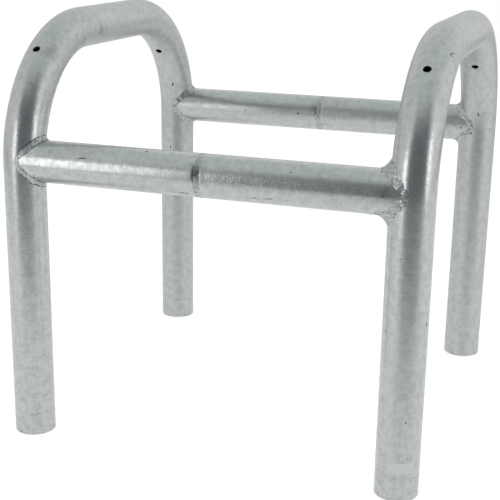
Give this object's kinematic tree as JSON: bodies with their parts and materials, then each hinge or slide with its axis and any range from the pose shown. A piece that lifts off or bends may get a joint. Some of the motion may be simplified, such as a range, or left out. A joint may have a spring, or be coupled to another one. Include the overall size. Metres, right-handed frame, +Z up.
{
  "type": "parking protection barrier",
  "caption": "Galvanised tube frame of bent hoops joined by plug-in rails, set in the ground around a post, tree or charging point to guard it from cars.",
  "frame": {"origin": "at the feet's level, midway between the four legs", "axes": "+X along the rails from the left hoop to the right hoop, +Y from the front rail to the rear rail, +Z up"},
  "size_m": [0.6202, 0.6312, 0.6199],
  "materials": {
    "zinc_tube": "hot-dip galvanised, mottled satin zinc",
    "zinc_weld": "hot-dip galvanised weld bead, rough",
    "label": "blank pale film label"
  },
  "bodies": {
    "left_half": {"left_hoop": "zinc_tube", "left_front_rail": "zinc_tube", "left_rear_rail": "zinc_tube", "left_spigot": "zinc_tube", "left_spigot_weld": "zinc_weld", "left_front_weld": "zinc_weld", "left_rear_weld": "zinc_weld"},
    "right_half": {"right_hoop": "zinc_tube", "right_rear_rail": "zinc_tube", "right_front_rail": "zinc_tube", "right_spigot": "zinc_tube", "right_spigot_weld": "zinc_weld", "right_rear_weld": "zinc_weld", "right_front_weld": "zinc_weld", "label": "label"}
  },
  "joints": [
    {"name": "halves_slide", "type": "slide", "parent": "left_half", "child": "right_half", "axis": [1, 0, 0], "range_m": [0, 0.1]}
  ]
}
